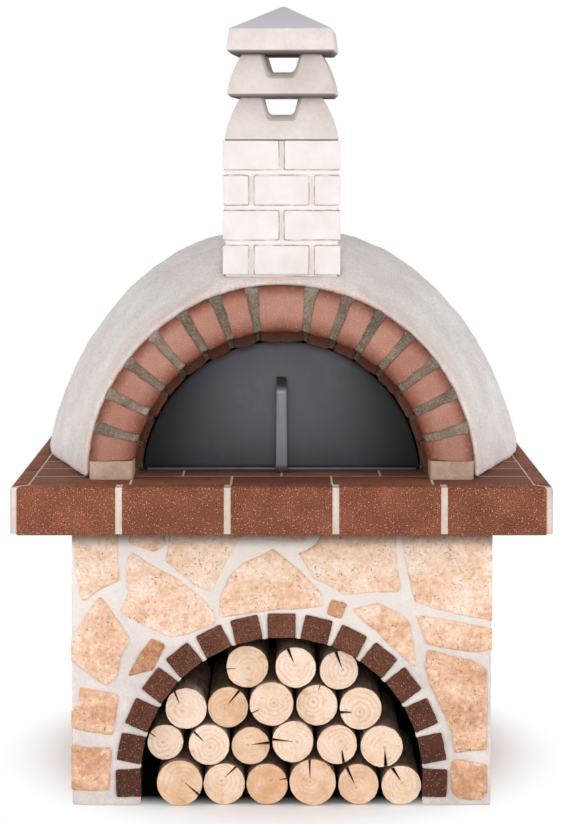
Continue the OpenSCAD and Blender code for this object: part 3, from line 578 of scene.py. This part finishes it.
# Shares of a log's radius: how far off centre its pith lies, and how uneven its outline and its bark are
PITH_OFF, BARK_SWELL, BARK_PLATES = 0.2, 0.035, 0.018
# Drying cracks by row: for each log, the direction from +X and the half width, in degrees, and between them the
# inner end as a share of the radius
CRACKS = {
    "logs_bottom_row": [(328, 0.12, 4), (55, 0.25, 4), (15, 0.55, 3), (97, 0.15, 4), (125, 0.2, 6),
                        (118, 0.1, 7)],
    "logs_third_row": [(150, 0.6, 3), (140, 0.45, 4), (8, 0.2, 6), (175, 0.1, 5), (290, 0.45, 6),
                       (282, 0.05, 7)],
    "logs_second_row": [(125, 0.45, 4), (55, 0.3, 5), (205, 0.7, 2), (80, 0.7, 2), (192, 0.45, 5)],
    "logs_top_row": [(188, 0.6, 2), (112, 0.1, 6), (100, 0.08, 7)],
}


def build_log(points, crack, seed):
    """One log lying along Y: uneven bark, sawn ends with the pith off centre and a drying crack."""
    rng = random.Random(seed)
    low = Vector(min(p[k] for p in points) for k in range(3))
    high = Vector(max(p[k] for p in points) for k in range(3))
    centre, radius = (low + high) / 2, (high.x - low.x) / 2
    pith = Vector((rng.uniform(-PITH_OFF, PITH_OFF), rng.uniform(-PITH_OFF, PITH_OFF))) * radius
    at, inner, half = math.radians(crack[0]), crack[1], math.radians(crack[2])
    angles = [2 * math.pi * i / SPOKES for i in range(SPOKES)]
    gap = 1.3 * half
    angles = [a for a in angles if abs((a - at + math.pi) % (2 * math.pi) - math.pi) > gap]
    angles = sorted(angles + [(at + d) % (2 * math.pi) for d in (-half, 0.0, half)])
    crack_at = min(range(len(angles)), key=lambda i: abs(angles[i] - at % (2 * math.pi)))
    shift = Vector((seed * 1.7, seed * 2.9, seed * 0.6))

    def edge(a, y):
        """Point of the bark at an angle and a place along the log."""
        ring = Vector((math.cos(a), math.sin(a), y * 1.2))
        swell = noise.noise(ring * 0.9 + shift) * BARK_SWELL
        plated = Vector((math.cos(a) * 6, math.sin(a) * 6, y * 9)) + shift
        plates = noise.fractal(plated, 1.0, 2.0, 3) * BARK_PLATES
        r = radius * min(0.999, 0.98 + swell + plates)
        return centre.x + r * math.cos(a), centre.z + r * math.sin(a)

    bm = bmesh.new()
    grain = bm.verts.layers.float.new("grain")
    split = bm.verts.layers.float.new("crack")
    tint = bm.verts.layers.float.new("tint")
    # A tint per log, partly at random and paler higher up, which is painted light
    shade = 0.8 * rng.random() + 1.5 * centre.z - 0.25

    def vertex(x, y, z, g, c):
        v = bm.verts.new((x, y, z))
        v[grain], v[split], v[tint] = g, c, shade
        return v

    rings = []
    for k in range(SIDE_RINGS + 1):
        y = low.y + (high.y - low.y) * k / SIDE_RINGS
        rings.append([vertex(x, y, z, 0, 0) for x, z in (edge(a, y) for a in angles)])
    count = len(angles)
    for a, b in zip(rings, rings[1:]):
        for i in range(count):
            f = bm.faces.new((a[i], a[(i + 1) % count], b[(i + 1) % count], b[i]))
            f.material_index = 1
    for y, inward in ((low.y, 1), (high.y, -1)):
        px, pz = centre.x + pith.x, centre.z + pith.y
        middle = vertex(px, y + inward * 0.5 * MM, pz, 0, 0)
        loops = []
        for share in (*CAP_RINGS, 1.0):
            loop = []
            for i, a in enumerate(angles):
                ex, ez = edge(a, y)
                x, z = px + (ex - px) * share, pz + (ez - pz) * share
                rough = END_ROUGH * (1 + noise.noise(Vector((x, z, seed)) * 60))
                open_crack = i == crack_at and share >= inner
                deep = CRACK_DEPTH * min(1.0, (share - inner) * 4) if open_crack else 0.0
                loop.append(vertex(x, y + inward * (rough + deep), z,
                                   math.hypot(x - px, z - pz), 1.0 if open_crack else 0.0))
            loops.append(loop)
        for i in range(count):
            j = (i + 1) % count
            bm.faces.new((middle, loops[0][i], loops[0][j]))
            for a, b in zip(loops, loops[1:]):
                bm.faces.new((a[i], b[i], b[j], a[j]))
        outer = rings[0] if inward > 0 else rings[-1]
        for i in range(count):
            j = (i + 1) % count
            bm.faces.new((loops[-1][i], outer[i], outer[j], loops[-1][j]))
    bmesh.ops.recalc_face_normals(bm, faces=bm.faces)
    mesh = bpy.data.meshes.new("log")
    bm.to_mesh(mesh)
    bm.free()
    return mesh


for row, (node, cracks) in enumerate(CRACKS.items()):
    solids = sorted(split_solids(node), key=lambda s: min(p.x for p in s[0]))
    logs = [build_log(s[0], c, 100 * row + k) for k, (s, c) in enumerate(zip(solids, cracks))]
    show(node, joined(node, logs), LOG_END, LOG_BARK, smooth=False)


# Worktop

for k, side in enumerate(("front", "left", "right", "back")):
    tiles = "edge_tiles_" + side
    show(tiles, bevelled(tiles, width=2.0 * MM, segments=2, seed=31 + k, spread=0.3), EDGE_CLINKER)
show("deck_tiles", bevelled("deck_tiles", width=1.5 * MM, segments=2, seed=41), DECK_CLINKER)


# Oven

ARCH = [math.hypot(v.co.x, v.co.z - DECK_Z) for v in frame["nodes"]["arch_bricks"].data.vertices]
ARCH_IN, ARCH_OUT = min(ARCH), max(ARCH)
# Reach of the painted shade at both ends of an arch brick, and how much further it reaches at the inner end
RIM_SHADE_REACH = 26 * MM
INNER_RIM_STRETCH = 1.6
STAINED = 45 * MM
# How far each side of a brick moves out at its inner and outer ends, since the photographed joints taper less
WEDGE_IN, WEDGE_OUT = -3.6 * MM, 1.8 * MM
JOINT_REACH = 5 * MM


def rim_shade(co):
    """Share of painted shade on an arch brick: 1 at its rounded inner and outer ends, 0 from a short way in,
    longer at the inner end.
    """
    r = math.hypot(co.x, co.z - DECK_Z)
    return max(0.0, 1.0 - min((r - ARCH_IN) / INNER_RIM_STRETCH, ARCH_OUT - r) / RIM_SHADE_REACH)


def beside_bricks(co):
    """1 on the render where it meets the arch bricks, 0 from a short way out."""
    out = math.hypot(co.x, co.z - DECK_Z) - ARCH_OUT
    return max(0.0, 1.0 - abs(out) / STAINED) if co.y < 0 else 0.0


def wedged(points, inner, outer):
    """Moves both sides of an arch brick or joint out by the two lengths, at its inner and its outer end."""
    polar = [(math.hypot(p.x, p.z - DECK_Z), math.atan2(p.z - DECK_Z, p.x)) for p in points]
    axis = (min(a for r, a in polar) + max(a for r, a in polar)) / 2
    turned = []
    for p, (r, a) in zip(points, polar):
        share = (r - ARCH_IN) / (ARCH_OUT - ARCH_IN)
        a += math.copysign(1.0, a - axis) * (inner + (outer - inner) * share) / r
        turned.append(Vector((r * math.cos(a), p.y, DECK_Z + r * math.sin(a))))
    return turned


def wedge_brick(points):
    """Gives an arch brick its wedge."""
    return wedged(points, WEDGE_IN, WEDGE_OUT)


def wedge_joint(points):
    """Evens out an arch joint, and carries its outer end out to the render behind the bricks."""
    reached = []
    for p in wedged(points, -WEDGE_IN, -WEDGE_OUT):
        r = math.hypot(p.x, p.z - DECK_Z)
        reach = 1.0 + JOINT_REACH / r if r > (ARCH_IN + ARCH_OUT) / 2 else 1.0
        reached.append(Vector((p.x * reach, p.y, DECK_Z + (p.z - DECK_Z) * reach)))
    return reached


show("arch_bricks", tumbled("arch_bricks", voxel=4 * MM, smoothing=2, height=2.0 * MM, size=30 * MM, seed=51,
                            swell=1.2 * MM, marks=[("rim", rim_shade)], reshape=wedge_brick,
                            tint=even_tint), ARCH_BRICK)
show("inner_arch_bricks", tumbled("inner_arch_bricks", voxel=5 * MM, smoothing=3, height=3.5 * MM, size=22 * MM,
                                  seed=71, swell=1.0 * MM), INNER_BRICK)
show("arch_mortar", tumbled("arch_mortar", voxel=4 * MM, smoothing=2, height=2.2 * MM, size=18 * MM, seed=91,
                            swell=2.0 * MM, reshape=wedge_joint), ARCH_MORTAR)
for node in ("arch_foot_left", "arch_foot_right"):
    show(node, tumbled(node, voxel=4 * MM, smoothing=5, height=1.5 * MM, size=30 * MM, seed=111,
                       swell=1.5 * MM), FOOT_CAST)
show("render_shell", tumbled("render_shell", voxel=7 * MM, smoothing=14, height=2.5 * MM, size=160 * MM, seed=121,
                             swell=1.0 * MM, marks=[("rim", beside_bricks)], rough=(1.2 * MM, 20 * MM)), RENDER)

CHIMNEY_LOW, CHIMNEY_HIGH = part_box("chimney_block")
CHIMNEY_MID = (CHIMNEY_LOW + CHIMNEY_HIGH) / 2
CHIMNEY_HALF = (CHIMNEY_HIGH.x - CHIMNEY_LOW.x) / 2
GROOVE = 7 * MM
CAST_CREASE = 25


def groove(co):
    """How deep a point lies in the moulded joints of the chimney block, 1 at their bottom."""
    out = max(abs(co.x - CHIMNEY_MID.x), abs(co.y - CHIMNEY_MID.y))
    return min(1.0, max(0.0, (CHIMNEY_HALF - out) / GROOVE))


show("chimney_block", tumbled("chimney_block", voxel=3 * MM, smoothing=2, height=1.2 * MM, size=30 * MM, seed=131,
                              swell=0.6 * MM, marks=[("groove", groove)]), CHIMNEY)
for node in ("cowl_lower", "cowl_upper"):
    show(node, bevelled(node, width=2.5 * MM, segments=2, seed=141), COWL, crease=CAST_CREASE)
show("cowl_cap", bevelled("cowl_cap", width=2.0 * MM, segments=2, seed=151), CAP, crease=CAST_CREASE)


# Door

show("door_sheet", bevelled("door_sheet", width=1.0 * MM, segments=2, seed=161), DOOR_STEEL)
show("door_foot", bevelled("door_foot", width=0.8 * MM, segments=2, seed=162), FOOT_HIGHLIGHT_STEEL)
show("door_handle", bevelled("door_handle", width=1.8 * MM, segments=3, seed=163), HANDLE_STEEL)


# Nodes shown as built, with their own materials

# The base walls get the near black of painted shade inside the store
PLAIN = {
    "base_front_wall": STORE_SHADE_WALL, "base_left_wall": STORE_SHADE_WALL, "base_right_wall": STORE_SHADE_WALL,
    "base_back_wall": WALL_BLOCK, "hearth_slab": SLAB, "edge_grout": TILE_GROUT, "deck_grout": TILE_GROUT,
    "floor_insulation_board": BOARD, "oven_floor_bricks": FIREBRICK, "inner_arch_mortar": INNER_MORTAR,
    "vault_front_left": REFRACTORY, "vault_front_right": REFRACTORY, "vault_rear_left": REFRACTORY,
    "vault_rear_right": REFRACTORY, "vault_joints": INNER_MORTAR, "flue_collar": REFRACTORY,
    "insulation_fill": FIBRE, "chimney_bead": CHIMNEY, "door_rim": DOOR_STEEL, "door_insulation": FIBRE,
    "door_back_plate": BACK_STEEL, "door_studs": RIVET_STEEL,
}
for node, material in PLAIN.items():
    mesh = frame["nodes"][node].data
    mesh.materials.clear()
    mesh.materials.append(material)

# Painted shade on the back wall's faces that look into the store
back_wall = frame["nodes"]["base_back_wall"].data
back_wall.materials.append(STORE_SHADE_WALL)
for face in back_wall.polygons:
    face.material_index = int(face.normal.y < -0.5)


# Camera, light and floor

# The camera of the photograph: a long lens a little above the worktop, shifted so that verticals stay parallel
CAMERA_PLACE = (0.0, -5.5757, 1.6065)
PITCH_DOWN = 1.6851
LENS, SENSOR = 92.031, 36.0
SHIFT_X, SHIFT_Y = 0.0042, -0.25
# Lamps by name: place, target, diameter, power in watts
LAMPS = {
    "key": ((0.0, -5.9, 2.1), (0.0, -0.3, 0.9), 2.2, 95.0),
    "left": ((-4.4, -2.4, 2.1), (0.0, -0.3, 1.0), 2.2, 80.0),
    "right": ((4.4, -2.4, 2.1), (0.0, -0.3, 1.0), 2.2, 80.0),
    "rear": ((0.0, 5.2, 3.2), (0.0, 0.2, 1.0), 2.6, 55.0),
}
WORLD_LIGHT = 0.44

camera = bpy.data.objects.new("camera", bpy.data.cameras.new("camera"))
bpy.context.scene.collection.objects.link(camera)
bpy.context.scene.camera = camera
camera.location = CAMERA_PLACE
camera.rotation_euler = (math.radians(90 - PITCH_DOWN), 0.0, 0.0)
camera.data.lens = LENS
camera.data.sensor_width = SENSOR
camera.data.shift_x = SHIFT_X
camera.data.shift_y = SHIFT_Y
camera.data.clip_end = 50.0


def area_light(name, place, target, size, power):
    """A round lamp that looks at its target."""
    lamp = bpy.data.lights.new(name, "AREA")
    lamp.shape, lamp.size, lamp.energy = "DISK", size, power
    obj = bpy.data.objects.new(name, lamp)
    bpy.context.scene.collection.objects.link(obj)
    obj.location = place
    obj.rotation_euler = (Vector(target) - Vector(place)).to_track_quat("-Z", "Y").to_euler()


for name, settings in LAMPS.items():
    area_light(name, *settings)

# A world that looks white to the camera and in reflections, and lights the part less
world = bpy.data.worlds.new("studio")
bpy.context.scene.world = world
world.use_nodes = True
tree = world.node_tree
background = tree.nodes["Background"]
background.inputs["Color"].default_value = (1.0, 1.0, 1.0, 1.0)
paths = tree.nodes.new("ShaderNodeLightPath")
seen = tree.nodes.new("ShaderNodeMath")
seen.operation = "MAXIMUM"
seen_too = tree.nodes.new("ShaderNodeMath")
seen_too.operation = "MAXIMUM"
level = tree.nodes.new("ShaderNodeMapRange")
level.inputs["To Min"].default_value = WORLD_LIGHT
level.inputs["To Max"].default_value = 1.0
tree.links.new(paths.outputs["Is Camera Ray"], seen.inputs[0])
tree.links.new(paths.outputs["Is Glossy Ray"], seen.inputs[1])
tree.links.new(seen.outputs[0], seen_too.inputs[0])
tree.links.new(paths.outputs["Is Transmission Ray"], seen_too.inputs[1])
tree.links.new(seen_too.outputs[0], level.inputs["Value"])
tree.links.new(level.outputs["Result"], background.inputs["Strength"])

# A white floor that keeps the part's shadow up to SHADOW_FAR from its middle, and has painted shade, near black,
# inside the store
FLOOR = 6.0
SHADOW_NEAR, SHADOW_FAR = 0.48, 0.76
STORE_FRONT = (-0.5, -0.42)
STORE_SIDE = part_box("base_right_wall")[0].x
STORE_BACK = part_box("base_back_wall")[0].y
UNDER_WALL = 30 * MM
floor_corners = [(-FLOOR, -FLOOR, 0), (FLOOR, -FLOOR, 0), (FLOOR, FLOOR, 0), (-FLOOR, FLOOR, 0)]
floor_mesh = mesh_of("floor", floor_corners, [(0, 1, 2, 3)])
floor = bpy.data.objects.new("floor", floor_mesh)
bpy.context.scene.collection.objects.link(floor)
paint = Paint("floor", roughness=1.0, specular=0.0)

aside = paint.math("ABSOLUTE", paint.part_of(paint.coords, 0))
across = paint.between(aside, STORE_SIDE, STORE_SIDE + UNDER_WALL)
front = paint.between(paint.part_of(paint.coords, 1), *STORE_FRONT)
rear = paint.between(paint.part_of(paint.coords, 1), STORE_BACK, STORE_BACK + UNDER_WALL)
# Painted shade: the floor under the stand, inside the store, is near black
shaded = paint.math("MULTIPLY", paint.math("SUBTRACT", 1.0, across), paint.math("SUBTRACT", front, rear))
paint.finish(paint.mix(shaded, "#f6f6f6", "#1c1815"))
away = paint.node("ShaderNodeVectorMath", {"operation": "LENGTH"})
paint.plug(away.inputs[0], paint.coords)
rays = paint.node("ShaderNodeLightPath")
looked_at = paint.math("MAXIMUM", rays.outputs["Is Camera Ray"], rays.outputs["Is Glossy Ray"])
looked_at = paint.math("MAXIMUM", looked_at, rays.outputs["Is Transmission Ray"])
open_ground = paint.math("MULTIPLY", paint.between(away.outputs["Value"], SHADOW_NEAR, SHADOW_FAR),
                         paint.math("SUBTRACT", 1.0, shaded))
share = paint.math("MULTIPLY", open_ground, looked_at)
white = paint.node("ShaderNodeEmission", Color=(1.0, 1.0, 1.0, 1.0), Strength=1.0)
blend = paint.node("ShaderNodeMixShader", Fac=share)
paint.tree.links.new(paint.shader.outputs[0], blend.inputs[1])
paint.tree.links.new(white.outputs[0], blend.inputs[2])
paint.tree.links.new(blend.outputs[0], paint.tree.nodes["Material Output"].inputs["Surface"])
floor_mesh.materials.append(paint.material)

bpy.context.scene.view_settings.view_transform = "Standard"
